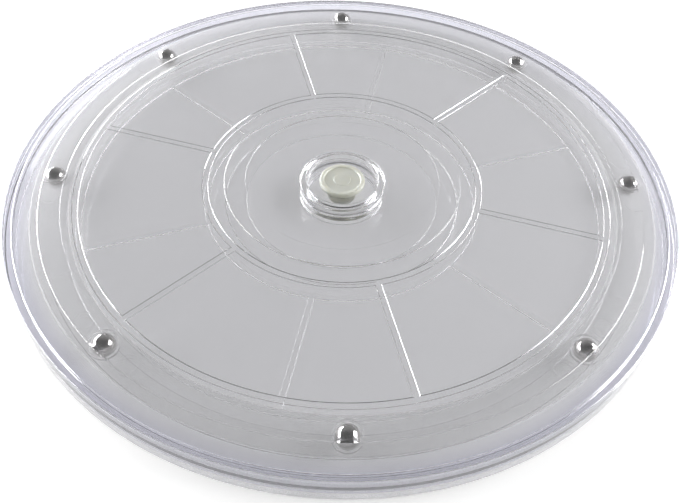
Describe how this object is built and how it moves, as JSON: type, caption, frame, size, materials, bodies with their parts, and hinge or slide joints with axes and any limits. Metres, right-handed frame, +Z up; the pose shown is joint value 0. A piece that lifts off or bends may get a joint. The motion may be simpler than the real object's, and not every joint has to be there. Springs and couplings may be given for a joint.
{
  "type": "lazy susan turntable",
  "caption": "Low round clear plastic turntable: two ribbed skirted plates face to face on steel balls in a floating cage, held by a central pin.",
  "frame": {"origin": "centre of the base plate's underside, on the turning axis", "axes": "+Z up along the turning axis, -Y towards the picture's camera"},
  "size_m": [0.254, 0.254, 0.0126],
  "materials": {
    "clear_plate": "clear moulded polystyrene",
    "clear_cage": "clear moulded plastic",
    "pin": "off-white moulded nylon",
    "steel_ball": "polished bearing steel"
  },
  "bodies": {
    "base": {"base_plate": "clear_plate", "pivot_pin": "pin", "pin_cap": "pin"},
    "top": {"top_plate": "clear_plate"},
    "cage": {"ball_cage": "clear_cage"},
    "ball_1": {"ball_1": "steel_ball"},
    "ball_2": {"ball_2": "steel_ball"},
    "ball_3": {"ball_3": "steel_ball"},
    "ball_4": {"ball_4": "steel_ball"},
    "ball_5": {"ball_5": "steel_ball"},
    "ball_6": {"ball_6": "steel_ball"},
    "ball_7": {"ball_7": "steel_ball"},
    "ball_8": {"ball_8": "steel_ball"}
  },
  "joints": [
    {"name": "top_turn", "type": "hinge", "parent": "base", "child": "top", "pos_m": [0, 0, 0.00632], "axis": [0, 0, 1], "continuous": true},
    {"name": "cage_turn", "type": "hinge", "parent": "base", "child": "cage", "pos_m": [0, 0, 0.00632], "axis": [0, 0, 1], "continuous": true},
    {"name": "ball_1_roll", "type": "hinge", "parent": "cage", "child": "ball_1", "pos_m": [0.00467, -0.10951, 0.00632], "axis": [0.0426, -0.9991, 0], "continuous": true},
    {"name": "ball_2_roll", "type": "hinge", "parent": "cage", "child": "ball_2", "pos_m": [0.08337, -0.07364, 0.00632], "axis": [0.7495, -0.662, 0], "continuous": true},
    {"name": "ball_3_roll", "type": "hinge", "parent": "cage", "child": "ball_3", "pos_m": [0.11366, 0.00737, 0.00632], "axis": [0.9979, 0.0647, 0], "continuous": true},
    {"name": "ball_4_roll", "type": "hinge", "parent": "cage", "child": "ball_4", "pos_m": [0.07779, 0.08607, 0.00632], "axis": [0.6706, 0.7419, 0], "continuous": true},
    {"name": "ball_5_roll", "type": "hinge", "parent": "cage", "child": "ball_5", "pos_m": [-0.00322, 0.11636, 0.00632], "axis": [-0.0276, 0.9996, 0], "continuous": true},
    {"name": "ball_6_roll", "type": "hinge", "parent": "cage", "child": "ball_6", "pos_m": [-0.08192, 0.08049, 0.00632], "axis": [-0.7133, 0.7009, 0], "continuous": true},
    {"name": "ball_7_roll", "type": "hinge", "parent": "cage", "child": "ball_7", "pos_m": [-0.1122, -0.00052, 0.00632], "axis": [-1, -0.0046, 0], "continuous": true},
    {"name": "ball_8_roll", "type": "hinge", "parent": "cage", "child": "ball_8", "pos_m": [-0.07634, -0.07922, 0.00632], "axis": [-0.6939, -0.7201, 0], "continuous": true}
  ],
  "couplings": [
    {"joint": "cage_turn", "follows": "top_turn", "ratio": 0.5},
    {"joint": "ball_1_roll", "follows": "top_turn", "ratio": -13.804},
    {"joint": "ball_2_roll", "follows": "top_turn", "ratio": -14.01},
    {"joint": "ball_3_roll", "follows": "top_turn", "ratio": -14.345},
    {"joint": "ball_4_roll", "follows": "top_turn", "ratio": -14.611},
    {"joint": "ball_5_roll", "follows": "top_turn", "ratio": -14.66},
    {"joint": "ball_6_roll", "follows": "top_turn", "ratio": -14.464},
    {"joint": "ball_7_roll", "follows": "top_turn", "ratio": -14.132},
    {"joint": "ball_8_roll", "follows": "top_turn", "ratio": -13.856}
  ]
}
